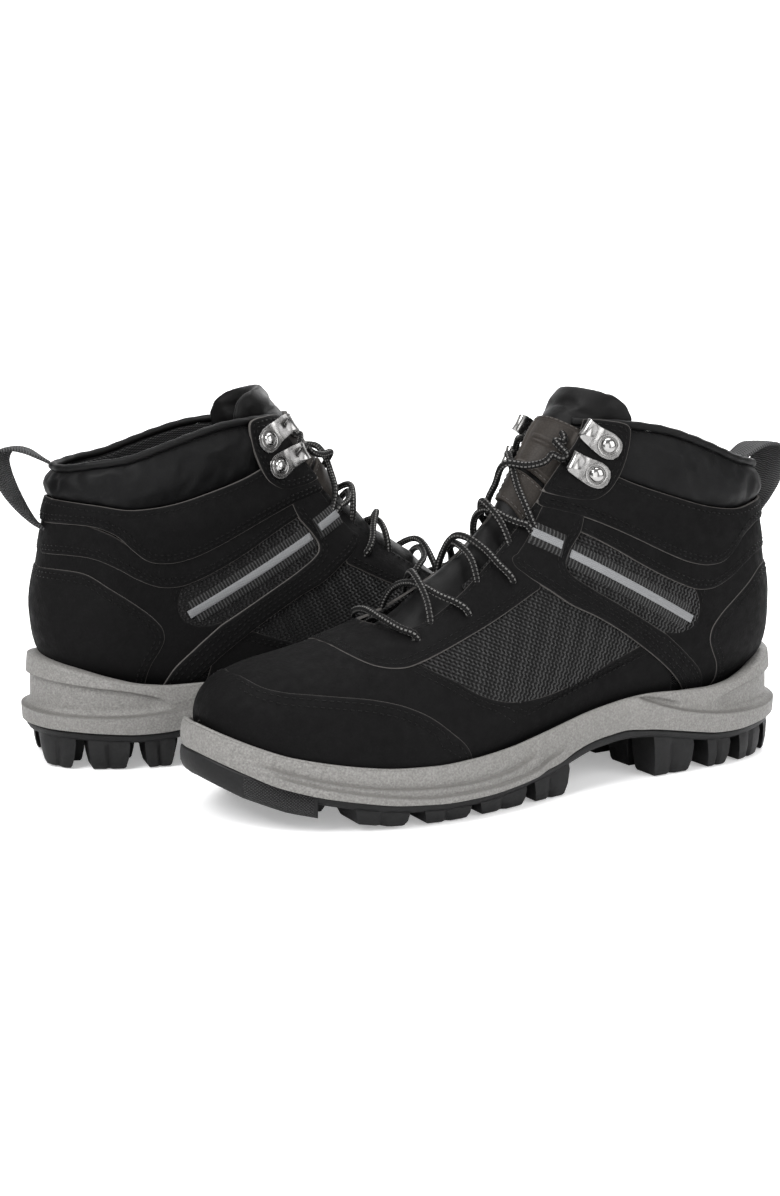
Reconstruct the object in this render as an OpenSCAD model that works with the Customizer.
// Pair of laced hiking boots standing on the floor, Z up, soles near z = 0, the pair centred on the
// origin. Each boot is drawn as a left boot: heel at x = 0, toe toward +X, outer side toward +Y.
// The right boot is its mirror image. In the pair the left toe points about -X and the right +X.

/* [Boot] */
// Length over the sole from heel to toe, mm
sole_length = 300; // [290:1:310]
// Thickness of the leather panels, mm
leather = 1.2; // [1:0.1:1.3]
// How far the padded collar swells outward, mm
collar_swell = 4; // [2:0.5:5]
// Thickness of the padded tongue, mm
tongue_pad = 5; // [3:0.5:6]

/* [Sole] */
// Thickness of the rubber plate that carries the lugs, mm
plate = 4; // [3:0.5:4]

/* [Laces and hooks] */
// Diameter of the round lace, mm
lace_d = 3.4; // [3:0.1:3.6]
// Diameter of the domed rivet head, mm
rivet_d = 6.4; // [5.6:0.1:7]
// Thickness of the sheet the lace hooks are pressed from, mm
hook_sheet = 0.9; // [0.8:0.1:1]

/* [Pair] */
// Turn of the left boot about the vertical, degrees
left_yaw = -150.4; // [-152:0.1:-148]
// Turn of the right boot about the vertical, degrees
right_yaw = 20.9; // [18:0.1:23]

/* [Hidden] */
// Heights of the layers over the bare last
gap = 0.3;
over_in = leather + gap;      // the base layer runs from 0 to leather
over_out = over_in + leather;
trim_in = over_out + gap;
cup = over_out + 0.6;         // inside of the midsole cup
stretch = sole_length / 300;  // the tables are drawn for a 300 mm sole
pair_x = 41;                  // each boot's offset from the middle of the pair
pair_y = 41;
mid_x = 4.83882;              // puts the middle of the pair over the origin
mid_y = 3.13270;

// Fan of sections over the last, toe to collar: top x, top z, bottom x, bottom z, half width,
// centre y, height of the widest point (share), squareness below it, squareness above it
FAN = [
  [293.2,  43.4, 293.2,  42.0,  0.8, -5.5, .40, 2.4, 2.2],
  [291.3,  48.8, 291.3,  36.5,  9.5, -5.5, .38, 2.8, 2.2],
  [287.0,  54.4, 287.0,  31.0, 17.5, -5.3, .36, 3.2, 2.2],
  [279.5,  59.0, 279.5,  26.5, 26.0, -4.8, .34, 3.8, 2.2],
  [268.0,  62.8, 268.0,  22.5, 33.8, -3.6, .32, 4.2, 2.1],
  [251.0,  66.5, 251.0,  19.5, 40.3, -1.6, .31, 4.6, 2.0],
  [230.0,  72.5, 230.0,  17.5, 44.6,  0.6, .30, 4.8, 1.85],
  [208.0,  82.0, 208.0,  17.0, 45.2,  2.2, .29, 4.8, 1.7],
  [188.0,  93.5, 186.0,  18.5, 42.5,  3.0, .28, 4.8, 1.6],
  [171.0, 105.0, 163.0,  22.5, 39.0,  3.0, .28, 4.8, 1.55],
  [158.0, 117.5, 137.0,  27.0, 36.4,  2.5, .29, 4.8, 1.55],
  [149.5, 128.0, 108.0,  30.0, 35.0,  1.8, .31, 4.6, 1.6],
  [143.0, 137.5,  74.0,  30.0, 34.8,  1.0, .34, 4.2, 1.7],
  [138.0, 145.0,  38.0,  34.0, 34.8,  0.5, .38, 3.4, 1.8],
  [133.5, 151.5,  11.0,  47.0, 34.8,  0.0, .42, 2.8, 1.9],
  [129.5, 157.0,   4.5,  70.0, 34.8,  0.0, .44, 2.4, 2.0],
  [125.5, 161.5,   7.0,  92.0, 34.6,  0.0, .45, 2.3, 2.0],
  [121.5, 166.0,  11.5, 113.0, 34.8,  0.0, .46, 2.3, 2.0],
  [117.5, 170.5,  15.0, 133.0, 36.0,  0.0, .47, 2.3, 2.0],
  [112.0, 177.0,  16.0, 152.0, 37.0,  0.0, .48, 2.3, 2.0]];
last_section = len(FAN) - 1;

// Plan outline of the sole: x, distance to the outer edge, distance to the inner edge
PLAN = [
  [0, 6, 6], [2, 12.5, 12.5], [8, 23, 22.5], [20, 32, 31], [40, 39, 37.5], [70, 41, 39.5],
  [100, 41, 38.5], [130, 42.5, 38], [160, 46.5, 41], [190, 50.5, 46], [215, 51, 50],
  [240, 47.5, 50.5], [262, 39, 46.5], [280, 28, 36.5], [292, 15, 25], [298, 6, 17], [300, 1, 11]];
// Side view of the sole: x, top lip of the midsole, top of the rubber, underside of the lugs
SIDE = [
  [0, 51, 19, 1.5], [12, 47.5, 18.5, 0], [27, 43.5, 17.5, 0], [43, 39.5, 16.5, 0],
  [59, 38, 17, 0], [96, 39.5, 23.5, 0], [110, 38.5, 24.5, 0], [130, 35.5, 22, 0],
  [151, 31, 15.5, 0], [172, 27, 11.5, 0], [191, 25, 9.5, 0], [211, 24, 9.2, 0],
  [234, 25, 11, 1], [250, 27, 13.8, 3.5], [262, 29, 16, 6], [274, 31.5, 19.5, 8.5],
  [288, 36.5, 24.5, 13.5], [300, 42, 31, 20]];
// x of the rings that build the sole
STATIONS = [0, 2, 5, 10, 18, 28, 42, 56, 72, 88, 104, 118, 130, 142, 156, 172, 190, 208, 226,
            244, 258, 270, 280, 288, 294, 298, 300];

// ---- Helpers ----
function clamp(v, low, high) = min(max(v, low), high);
function mix(a, b, t) = a + (b - a)*t;
function unit(v) = v / max(norm(v), 1e-9);
function reverse(list) = [for (i = [len(list)-1:-1:0]) list[i]];
function column(table, k) = [for (line = table) [line[0], line[k]]];
// Point a share t of the way along a list of points
function along(list, t) = let (q = t*(len(list) - 1), i = clamp(floor(q), 0, len(list) - 2))
  mix(list[i], list[i+1], q - i);

// ---- The last ----
// A place on the last is [section, turn]. Section runs along FAN. Turn is 0 on the sole or heel
// line and 1 on the instep line, positive on the outer side and negative on the inner side.
function spline(a, b, c, d, t) =
  0.5 * ((2*b) + (c - a)*t + (2*a - 5*b + 4*c - d)*t*t + (-a + 3*b - 3*c + d)*t*t*t);
function section(s) = let (i = clamp(floor(s), 0, last_section - 1))
  spline(FAN[max(i-1, 0)], FAN[i], FAN[i+1], FAN[min(i+2, last_section)], s - i);
function top(r) = [r[0], r[1]];
function bottom(r) = [r[2], r[3]];
function wrap(turn) = turn > 1 ? turn - 2 : turn < -1 ? turn + 2 : turn;

// Point on the bare last
function bare(s, any_turn) = let (
    turn = wrap(any_turn), r = section(s), m = abs(turn), widest = r[6],
    below = m < 0.5, power = 2/(below ? r[7] : r[8]),
    rise = pow(abs(cos(180*m)), power), side = pow(max(sin(180*m), 0), power),
    share = below ? widest*(1 - rise) : widest + (1 - widest)*rise,
    p = mix(bottom(r), top(r), share))
  [p[0]*stretch, r[5] + sign(turn)*r[4]*side, p[1]];
function outward(s, turn) = unit(cross(
  bare(min(s + 0.06, last_section), turn) - bare(max(s - 0.06, 0), turn),
  bare(s, turn + 0.012) - bare(s, turn - 0.012)));
// Point at a height over the last
function on(q, height) = bare(q[0], q[1]) + height*outward(q[0], q[1]);

// Section whose line in side view passes through p = [x, z], found by bisection
function side_of(s, p) = let (r = section(s), a = top(r) - bottom(r), b = p - bottom(r))
  a[0]*b[1] - a[1]*b[0];
function find_section(p, steps, low = 0, high = last_section) = let (mid = (low + high)/2)
  steps == 0 ? mid
  : side_of(mid, p) > 0 ? find_section(p, steps - 1, mid, high)
  : find_section(p, steps - 1, low, mid);
// Place on the outer side of the last that shows at p = [x, z] in side view
function at(p) = let (
    s = find_section(p, 13), r = section(s), widest = r[6], line = top(r) - bottom(r),
    share = clamp(((p - bottom(r)) * line)/(line*line), 0, 1), below = share < widest,
    rise = clamp(below ? 1 - share/widest : (share - widest)/(1 - widest), 0, 1),
    m = acos(pow(rise, (below ? r[7] : r[8])/2))/180)
  [s, below ? m : 1 - m];
function seam(points) = [for (p = points) at(p)];
function other_side(places) = [for (q = places) [q[0], -q[1]]];

// Places across the sole line at section s, out to a turn on each side
function spread(s, turn, cells) = [for (j = [-cells:cells]) [s, turn*j/cells]];
// Turn j of -12..12 over the instep from side to side, for a turn m on either side
function over_instep(m, j) = j < 0 ? m : j == 0 ? 1 : 2 - m;

// Sole outline and profile at x; side is 1 for outer, -1 for inner
function edge(x, side) = side*lookup(x, column(PLAN, side > 0 ? 1 : 2));
function lip(x) = lookup(x, column(SIDE, 1));
function rubber_top(x) = lookup(x, column(SIDE, 2));
function ground(x) = lookup(x, column(SIDE, 3));
// Turn at which section s meets the midsole lip, found by bisection
function lip_turn(s, low = 0, high = .5, steps = 9) = let (mid = (low + high)/2, p = bare(s, mid))
  steps == 0 ? mid
  : p[2] > lip(p[0]/stretch) ? lip_turn(s, low, mid, steps - 1)
  : lip_turn(s, mid, high, steps - 1);

// ---- Solid builders ----
// Closed solid through a list of equal-length rings; flip turns its faces the other way
module loft(rings, flip = false) {
  k = len(rings[0]);
  walls = [for (i = [0:len(rings)-2]) for (j = [0:k-1])
    let (a = i*k + j, b = i*k + (j+1)%k, c = a + k, d = b + k) each [[a, b, d], [a, d, c]]];
  e = (len(rings) - 1)*k;
  caps = [for (j = [0:floor(k/2)-1]) let (b = j+1, c = k-2-j, d = k-1-j) each
    b < c ? [[j, c, b], [j, d, c], [e+j, e+b, e+c], [e+j, e+c, e+d]]
    : b == c ? [[j, d, b], [e+j, e+b, e+d]] : []];
  faces = concat(walls, caps);
  polyhedron([for (r = rings) each r], flip ? [for (f = faces) [f[0], f[2], f[1]]] : faces);
}
// Ring out along a line of places and back; inner and outer list a height for each place
function skin_ring(line, inner, outer) = concat(
  [for (j = [0:len(line)-1]) on(line[j], outer[j])],
  [for (j = [len(line)-1:-1:0]) on(line[j], inner[j])]);
// Skin of even thickness over a list of lines of places
module quilt(lines, inner, outer, flip = false)
  loft([for (c = lines) skin_ring(c, [for (q = c) inner], [for (q = c) outer])], flip);
// Panel between two lines of places; swell raises the middle of the outer face
module panel(from, to, inner, outer, steps, rows, swell = 0, flip = false)
  loft([for (i = [0:steps]) let (
      a = along(from, i/steps), b = along(to, i/steps),
      puff = swell*min(1, 6*min(i, steps - i)/steps + .4))
    skin_ring([for (j = [0:rows]) mix(a, b, j/rows)], [for (j = [0:rows]) inner],
      [for (j = [0:rows]) outer + puff*sin(180*j/rows)])], flip);
// Panel between two side-view outlines, on both sides of the boot
module both(from, to, inner, outer, steps = 8, rows = 3) {
  a = seam(from);
  b = seam(to);
  panel(a, b, inner, outer, steps, rows);
  panel(other_side(a), other_side(b), inner, outer, steps, rows, flip = true);
}
// Seam round the heel from the inner side to the outer, with midpoints added
function round_heel(points) = let (q = seam(points), outer = [for (i = [1:len(q)-1]) q[i]])
  finer(concat(reverse(other_side(outer)), [[q[0][0], 0]], outer));
function finer(list) =
  [for (i = [0:2*(len(list)-1)]) i%2 == 0 ? list[i/2] : (list[(i-1)/2] + list[(i+1)/2])/2];
// Panel between two side-view outlines, in one piece round the heel
module band(low, high, inner, outer, rows, swell = 0)
  panel(round_heel(low), round_heel(high), inner, outer, 4*(len(low)-1), rows, swell);
// Puts a child on the surface: +Z out of the boot, +X toward the instep line
module seat(q, height, turn) {
  p = on(q, height);
  z = outward(q[0], q[1]);
  t = unit(bare(q[0], q[1] + sign(q[1])*0.02) - bare(q[0], q[1]));
  x = unit(t - z*(t*z));
  y = cross(z, x);
  multmatrix([[x[0], y[0], z[0], p[0]], [x[1], y[1], z[1], p[1]], [x[2], y[2], z[2], p[2]],
              [0, 0, 0, 1]])
    rotate([0, 0, turn]) children();
}
// Round cord of eight facets through a list of points
function cord_ring(p, direction, r) = let (
    z = unit(direction), x = unit(cross(z, abs(z[1]) > 0.9 ? [1, 0, 0] : [0, 1, 0])),
    y = cross(z, x))
  [for (k = [0:7]) p + r*cos(45*k)*x + r*sin(45*k)*y];
module cord(points, r) {
  end = len(points) - 1;
  loft([for (i = [0:end])
    cord_ring(points[i], points[min(i+1, end)] - points[max(i-1, 0)], r)], true);
}

// ---- Sole ----
// Start and end x of the lugs along the edge and on either side of the middle
EDGE_LUGS = [[4, 17], [22, 40], [47, 61], [70, 93], [143, 163], [168, 193], [198, 220], [227, 248]];
MIDDLE_LUGS = [[8, 24], [30, 47], [51, 68], [75, 93], [146, 160], [166, 182], [186, 202],
               [208, 223], [227, 243]];
FRONT_LUG = [254, 281];
TOE_LUG = [284, 291, 297];
lug_sink = 0.8;   // how far a lug reaches up into the plate
lug_draft = 1.6;  // how much each lug face tapers in toward the ground

function lug_root(x) = rubber_top(x) - plate + lug_sink;
// Lug on one side; far and near are its edges as shares of the half width of the sole
module lug(span, side, far, near) {
  function ring(x, ground_x, z) = let (
      t = lug_root(x), y1 = edge(x, side)*far, y0 = edge(x, side)*near,
      r = [[x*stretch, y1, t], [ground_x*stretch, y1 - side*lug_draft, z],
           [ground_x*stretch, y0 + side*lug_draft, z], [x*stretch, y0 - side*.6, t]])
    side > 0 ? r : reverse(r);
  start = span[0];
  end = span[1];
  mid = (start + end)/2;
  loft([ring(start, start + lug_draft, ground(start)),
        ring(mid, mid, (ground(start) + ground(end))/2),
        ring(end, end - lug_draft, ground(end))]);
}
// Lug right across the tip of the toe
module toe_lug() loft([for (x = TOE_LUG) let (
    a = edge(x, 1) - 1, b = edge(x, -1) + 1, t = lug_root(x), z = ground(x))
  [[x*stretch, a, t], [x*stretch, a - 2, z], [x*stretch, b + 2, z], [x*stretch, b, t]]]);
module rubber_plate() loft([for (x0 = STATIONS) let (
    x = x0*stretch, a = edge(x0, 1), b = edge(x0, -1), c = (a + b)/2, t = rubber_top(x0) - .1,
    top_share = (x0 < 3 || x0 > 297) ? .9 : .97)
  [[x, mix(c, a, top_share), t], [x, a, t - 1.5], [x, mix(c, a, .95), t - plate],
   [x, mix(c, b, .95), t - plate], [x, b, t - 1.5], [x, mix(c, b, top_share), t]]]);
module outsole() color([.07, .07, .07]) {
  rubber_plate();
  for (side = [1, -1]) {
    for (span = EDGE_LUGS) lug(span, side, far = .995, near = .62);
    for (span = MIDDLE_LUGS) lug(span, side, far = .5, near = .12);
    lug(FRONT_LUG, side, far = .99, near = .25);
  }
  toe_lug();
}

// Sections of the last that the midsole cup follows
cup_toe = .35;
cup_heel = 12.9;  // from here the last four rings step evenly to the end
cup_end = 14.15;
// The inside of each ring lies on the cup, its outside on the sole outline
module midsole() color([.72, .70, .67]) loft([for (i = [0:26]) let (
    x0 = STATIONS[26 - i], x = x0*stretch,
    s = i > 22 ? mix(cup_heel, cup_end, (i - 22)/4)
      : i == 0 ? cup_toe : clamp(find_section([x0, lip(x0) - 12], 12), cup_toe, cup_end),
    a = edge(x0, 1), b = edge(x0, -1), c = (a + b)/2,
    z1 = lip(x0), z0 = rubber_top(x0) + .1, bulge_z = z1*.6 + z0*.4)
  concat([for (q = spread(s, max(.03, lip_turn(s)), 4)) on(q, cup)],
    [[x, a - .8, z1 + .3], [x, a + .3, bulge_z], [x, mix(c, a, .96), z0],
     [x, mix(c, b, .96), z0], [x, b - .3, bulge_z], [x, b + .8, z1 + .3]])]);

module shank() color([.5, .5, .5])
  quilt([for (i = [0:10]) spread(9.2 + i*.32, .05, 1)],
    inner = gap + .2, outer = gap + 1.6, flip = true);
module insole_board() color([.6, .5, .4])
  quilt([for (i = [0:20]) spread(.9 + i*.61, .15 + .025*sin(180*i/20), 3)],
    inner = -5.1, outer = -3.9, flip = true);
module insole() color([.16, .16, .17])
  quilt([for (i = [0:18]) spread(1.5 + i*.635, .165, 4)], inner = -8.9, outer = -5.7, flip = true);

// ---- Upper ----
// Outlines on the side of the boot in side view: x, z
RIM = [[14.5, 138.5], [19, 138.8], [28, 140.5], [45, 143.5], [58, 148], [72, 153], [86, 157.2],
       [100.5, 159.5], [110, 160.3], [120, 160.3]];
PADDING_LOW = [[13, 124], [18, 123.4], [30, 122], [44, 119.8], [54, 120.4], [64, 122],
               [80, 126.5], [98, 132.5]];
PADDING_HIGH = [[14.5, 135], [19, 135.2], [28, 137], [45, 140], [58, 144.5], [72, 149.5],
                [84, 153.2], [98, 155.8]];
ANKLE_UPPER_LOW = [[7, 112], [20, 113], [34, 108], [47, 99], [58, 93.5], [70, 93.5], [88, 101],
                   [106, 109.5], [125, 118.5]];
ANKLE_UPPER_HIGH = [[12, 121], [18, 120.6], [30, 119.3], [44, 117.2], [54, 117.6], [64, 119.2],
                    [80, 123.6], [94, 128.5], [105, 132.5]];
ANKLE_LOWER_LOW = [[5, 98], [24, 98], [39, 92], [53, 84.5], [66, 82], [77, 84.5], [90, 91],
                   [104, 99], [118, 108]];
ANKLE_LOWER_HIGH = [[6.5, 110.5], [20, 111.5], [34, 106.5], [47, 97.5], [58, 92], [70, 92],
                    [88, 99.4], [106, 107.9], [120, 114.5]];
COUNTER_LOW = [[10, 54], [16, 50.5], [22, 47.5], [28, 45], [33, 43.5], [38, 42.5], [43, 42.3],
               [47, 42.8], [50, 44]];
COUNTER_HIGH = [[4.5, 90], [18, 90], [29, 87], [41, 78], [50, 70], [57, 62], [58, 55], [56, 49],
                [53, 45]];
QUARTER_LOW = [[11.8, 49], [20, 42], [32, 38], [46, 37], [57, 46], [62, 60], [65, 84], [84, 93],
               [122, 112]];
QUARTER_HIGH = [[13, 122], [18, 121.6], [30, 120.3], [44, 118.2], [54, 118.6], [64, 120.2],
                [78, 124], [92, 129], [106, 131.5]];
EYESTAY_LOW = [[213, 64], [199, 69], [184, 75.5], [168, 83], [157, 93], [152, 110]];
EYESTAY_HIGH = [[215, 77], [200, 85], [184, 96], [168, 109], [157, 120], [149, 130]];
FORE_MESH_LOW = [[102, 61], [124, 54], [151, 47], [180, 47], [204, 58.5]];
FORE_MESH_HIGH = [[148, 89], [164, 82], [180, 76], [196, 70], [211, 63.5]];
STRAP_REAR = [[136, 104], [132, 94], [106, 79.5], [83, 65], [64, 46]];
STRAP_FRONT = [[160, 101], [146, 88.5], [124, 76.5], [98, 60.5], [78, 45]];
REAR_MESH_LOW = [[69, 62], [84, 68], [100, 77], [116, 87], [131, 96]];
REAR_MESH_HIGH = [[69, 79], [84, 88.4], [98, 95.4], [112, 102.4], [122, 107.6]];
TAB_REAR = [[102.5, 155.5], [103.5, 149], [106, 142.5], [109, 136.5], [113.5, 130.5]];
TAB_FRONT = [[123, 154.5], [129, 147], [134.5, 140.5], [139, 135.5], [142, 132]];

// The lining stops below the collar rim, and its opening starts at section 8.6
module lining() color([.1, .1, .1]) {
  rim_drop = 3.2;
  opening = 8.6;
  rim = [for (q = seam([for (p = RIM) p - [0, rim_drop]])) [q[1], q[0]]];
  quilt(concat(
      [for (s = [1.3, 1.8, 2.5, 3.3, 4.1, 4.9, 5.8, 6.7]) spread(s, .985, 10)],
      [spread(7.2, .885, 10)],
      [for (i = [0:15]) [for (q = spread(0, .87, 10))
        [mix(opening, lookup(abs(q[1]), rim), i/15), q[1]]]]),
    inner = -3, outer = -gap - 1.5, flip = true);
}

VAMP_END = [[.13, 11], [.3, 10.6], [.42, 9], [.52, 7.3], [.62, 6.7], [.8, 6.3], [1, 6.3]];
// VAMP_END gives the section where the vamp ends, by turn
module vamp() color([.08, .08, .08])
  quilt([for (i = [0:9]) [for (j = [-12:12]) let (m = .13 + .87*(1 - abs(j)/12))
      [mix(.4, lookup(m, VAMP_END), i/9), over_instep(m, j)]]],
    inner = 0, outer = leather - .1);

// Section where the toe cap ends, by share of the way from the instep line to the lip
CAP_END = [[0, 2.9], [.3, 3.3], [.6, 6], [.85, 8], [1, 8.4]];
// Turn of the top edge of the toe cap, by section
CAP_TOP = [[0, 1], [2.9, 1], [3.3, .8], [4, .66], [5.5, .6], [7, .55], [8, .42], [8.5, .34]];
// Turn from the midsole lip up to the bottom edge of the toe cap, by section
CAP_RISE = [[.9, .3], [2.2, .09]];
// The toe guard stops at a curved edge across the toe and along the sides
module toe_cap() color([.06, .06, .06])
  quilt([for (i = [0:9]) [for (j = [-12:12]) let (
      share = abs(j)/12, s = mix(.85, lookup(share, CAP_END), i/9),
      low = lip_turn(s) + lookup(s, CAP_RISE), high = max(lookup(s, CAP_TOP), low + .03))
    [s, over_instep(min(mix(low, high, 1 - share), .999), j)]]],
    inner = over_in + 1.3, outer = over_out + 1);

module eyestay() color([.07, .07, .07]) both(EYESTAY_LOW, EYESTAY_HIGH, over_in, over_out, 10);
module forefoot_mesh() color([.12, .12, .12]) both(FORE_MESH_LOW, FORE_MESH_HIGH, 0, leather);
module side_straps() color([.07, .07, .07])
  both(STRAP_REAR, STRAP_FRONT, trim_in + .2, trim_in + leather + .2, steps = 10, rows = 2);
module rear_mesh() color([.12, .12, .12]) both(REAR_MESH_LOW, REAR_MESH_HIGH, 0, leather);

// Straight webbing straps: start, end, width, steps along
WEBBING = [[[72, 71.5], [124, 99.5], 11, 6], [[139, 107.5], [146.5, 112], 8, 2]];
webbing_out = over_in + 1;
module straight_strip(web, width, inner, outer) {
  d = unit(web[1] - web[0]);
  half = [-d[1], d[0]]*width/2;
  middle = [for (t = [0:.2:1]) mix(web[0], web[1], t)];
  both([for (p = middle) p - half], [for (p = middle) p + half], inner, outer, web[3], rows = 1);
}
module webbing_straps() color([.09, .09, .09])
  for (web = WEBBING) straight_strip(web, web[2], over_in, webbing_out);
module reflective_strips() color([.75, .76, .78])
  for (web = WEBBING) straight_strip(web, 4, webbing_out + gap, webbing_out + .7);

module quarter() color([.08, .08, .08])
  band(QUARTER_LOW, QUARTER_HIGH, 0, leather - .1, rows = 7);
module ankle_overlay_upper() color([.07, .07, .07])
  band(ANKLE_UPPER_LOW, ANKLE_UPPER_HIGH, over_in + .8, over_out + .8, rows = 2);
module ankle_overlay_lower() color([.06, .06, .06])
  band(ANKLE_LOWER_LOW, ANKLE_LOWER_HIGH, over_in + 1.2, over_out + 1.2, rows = 2);
module heel_counter() color([.06, .06, .06])
  band(COUNTER_LOW, COUNTER_HIGH, over_in + .9, over_out + .7, rows = 4);
module collar_padding() color([.1, .1, .1])
  band(PADDING_LOW, PADDING_HIGH, 0, leather, rows = 5, swell = collar_swell);
module collar_binding() color([.05, .05, .05]) cord([for (q = round_heel(RIM)) on(q, 0)], r = 2.4);
module hook_tabs() color([.07, .07, .07]) both(TAB_REAR, TAB_FRONT, 0, over_out, steps = 5);

// ---- Tongue ----
// Height of the tongue face over the last: sunk at the sides, raised along the instep line
function tongue_face(q) =
  -4.2 + 5.3*clamp((q[0] - 7.4)/.9, 0, 1)*max(0, 1 - pow((1 - q[1])/.11, 2));
module tongue() color([.08, .08, .08]) loft([for (i = [0:12]) let (
    line = [for (j = [0:10]) [7.5 + i*11.5/12, .72 + j*.056]],
    face = [for (q = line) tongue_face(q)],
    back = [for (j = [0:10]) face[j] - tongue_pad*(1 - .7*pow(abs(j-5)/5, 4))])
  skin_ring(line, back, face)]);
// Leather patch on the tongue face between two sections
module tongue_patch(start, end, half_turn) loft([for (i = [0:4]) let (
    line = [for (q = spread(mix(start, end, i/4), half_turn, 2)) q + [0, 1]],
    back = [for (q = line) tongue_face(q) + 2*gap])
  skin_ring(line, back, [for (h = back) h + leather])]);
module tongue_badge() color([.3, .25, .22]) tongue_patch(14.6, 17.6, half_turn = .1);
module lace_keeper() color([.3, .25, .22]) tongue_patch(12.7, 14.1, half_turn = .09);

// ---- Laces and hooks ----
// Lace turning points at the side, toe end first: x, z
EYES = [[212, 75], [189, 87.5], [165, 101.5], [152, 116], [137, 134]];
lace_low = over_out + .8 + lace_d/2;      // where one run crosses the instep line
lace_high = over_out + 1.4 + lace_d*1.5;  // where the other run crosses over it
function eye(k, side) = let (q = at(EYES[k])) on([q[0], side*q[1]], over_out + 2 + lace_d/2);
function crossing(k, height) = on([(at(EYES[k])[0] + at(EYES[k+1])[0])/2, 1], height);
// Zigzag run from the top eye on the given side down to the last crossing
function lace_run(side, height) = [for (k = [4:-1:1])
  each [eye(k, k%2 == 0 ? side : -side), crossing(k-1, height)]];
module laces() color([.25, .25, .25])
  cord(concat(
    lace_run(1, lace_low),
    [eye(0, 1), on([at(EYES[0])[0], 1], lace_low), eye(0, -1)],
    reverse(lace_run(-1, lace_high))), r = lace_d/2);

HOOKS = [[113.5, 149.5], [121, 137.5]];  // rivet places in side view: x, z
hook_width = 7.2;
hook_curl_r = 3;    // inside radius of the curled end
hook_curl_x = 13;   // from the rivet to the centre of the curl
hook_hole_r = 1.9;
rivet_shank_r = 1.7;
module hook() {
  difference() {
    linear_extrude(hook_sheet) hull() {
      circle(5, $fn = 40);
      translate([11, 0]) circle(4.2, $fn = 40);
    }
    translate([0, 0, -1]) cylinder(r = hook_hole_r, h = 4, $fn = 40);
  }
  translate([hook_curl_x, 0, hook_curl_r + hook_sheet]) rotate([90, 0, 0]) rotate([0, 0, -90])
    rotate_extrude(angle = 200, $fn = 60)
      translate([hook_curl_r, -hook_width/2]) square([hook_sheet, hook_width]);
}
module rivet() {
  translate([0, 0, .05]) cylinder(r = rivet_shank_r, h = hook_sheet + .2, $fn = 40);
  // domed head
  translate([0, 0, hook_sheet + .1]) rotate_extrude($fn = 48) intersection() {
    translate([0, -3.6]) circle(rivet_d/2*1.45, $fn = 60);
    square([rivet_d/2, 3]);
  }
}
module at_hooks() for (p = HOOKS) for (side = [1, -1]) let (q = at(p))
  seat([q[0], side*q[1]], height = over_out + .6, turn = side*-8) children();
module lace_hooks() color([.55, .55, .58]) at_hooks() hook();
module hook_rivets() color([.7, .7, .72]) at_hooks() rivet();

// Middle line of the loop behind the heel in side view: x, z
LOOP = [[5.5, 142], [1, 146], [-6, 148.3], [-11.5, 147.6], [-13.6, 143.5], [-12, 136],
        [-8, 127.5], [-3, 119.5], [1.5, 114.5], [4, 112.5]];
loop_width = 14;
loop_thick = 1.6;
module pull_loop() color([.2, .2, .21]) loft([for (i = [0:9]) let (
    d = unit(LOOP[min(i+1, 9)] - LOOP[max(i-1, 0)]), n = [-d[1], d[0]]*loop_thick/2,
    a = LOOP[i] + n, b = LOOP[i] - n, y = loop_width/2)
  [[a[0], y, a[1]], [a[0], -y, a[1]], [b[0], -y, b[1]], [b[0], y, b[1]]]], true);

// ---- Pair ----
module left() translate([mid_x + pair_x, mid_y - pair_y, 0]) rotate([0, 0, left_yaw])
  translate([-sole_length/2, 0, 0]) children();
module right() translate([mid_x - pair_x, mid_y + pair_y, 0]) rotate([0, 0, right_yaw])
  mirror([0, 1, 0]) translate([-sole_length/2, 0, 0]) children();

left() outsole();  // left_outsole
left() midsole();  // left_midsole
left() shank();  // left_shank
left() insole_board();  // left_insole_board
left() insole();  // left_insole
left() lining();  // left_lining
left() vamp();  // left_vamp
left() toe_cap();  // left_toe_cap
left() eyestay();  // left_eyestay
left() forefoot_mesh();  // left_forefoot_mesh
left() side_straps();  // left_side_straps
left() rear_mesh();  // left_rear_mesh
left() webbing_straps();  // left_webbing_straps
left() reflective_strips();  // left_reflective_strips
left() ankle_overlay_upper();  // left_ankle_overlay_upper
left() ankle_overlay_lower();  // left_ankle_overlay_lower
left() quarter();  // left_quarter
left() heel_counter();  // left_heel_counter
left() collar_padding();  // left_collar_padding
left() collar_binding();  // left_collar_binding
left() hook_tabs();  // left_hook_tabs
left() tongue();  // left_tongue
left() tongue_badge();  // left_tongue_badge
left() lace_keeper();  // left_lace_keeper
left() laces();  // left_laces
left() lace_hooks();  // left_lace_hooks
left() hook_rivets();  // left_hook_rivets
left() pull_loop();  // left_pull_loop
right() outsole();  // right_outsole
right() midsole();  // right_midsole
right() shank();  // right_shank
right() insole_board();  // right_insole_board
right() insole();  // right_insole
right() lining();  // right_lining
right() vamp();  // right_vamp
right() toe_cap();  // right_toe_cap
right() eyestay();  // right_eyestay
right() forefoot_mesh();  // right_forefoot_mesh
right() side_straps();  // right_side_straps
right() rear_mesh();  // right_rear_mesh
right() webbing_straps();  // right_webbing_straps
right() reflective_strips();  // right_reflective_strips
right() ankle_overlay_upper();  // right_ankle_overlay_upper
right() ankle_overlay_lower();  // right_ankle_overlay_lower
right() quarter();  // right_quarter
right() heel_counter();  // right_heel_counter
right() collar_padding();  // right_collar_padding
right() collar_binding();  // right_collar_binding
right() hook_tabs();  // right_hook_tabs
right() tongue();  // right_tongue
right() tongue_badge();  // right_tongue_badge
right() lace_keeper();  // right_lace_keeper
right() laces();  // right_laces
right() lace_hooks();  // right_lace_hooks
right() hook_rivets();  // right_hook_rivets
right() pull_loop();  // right_pull_loop
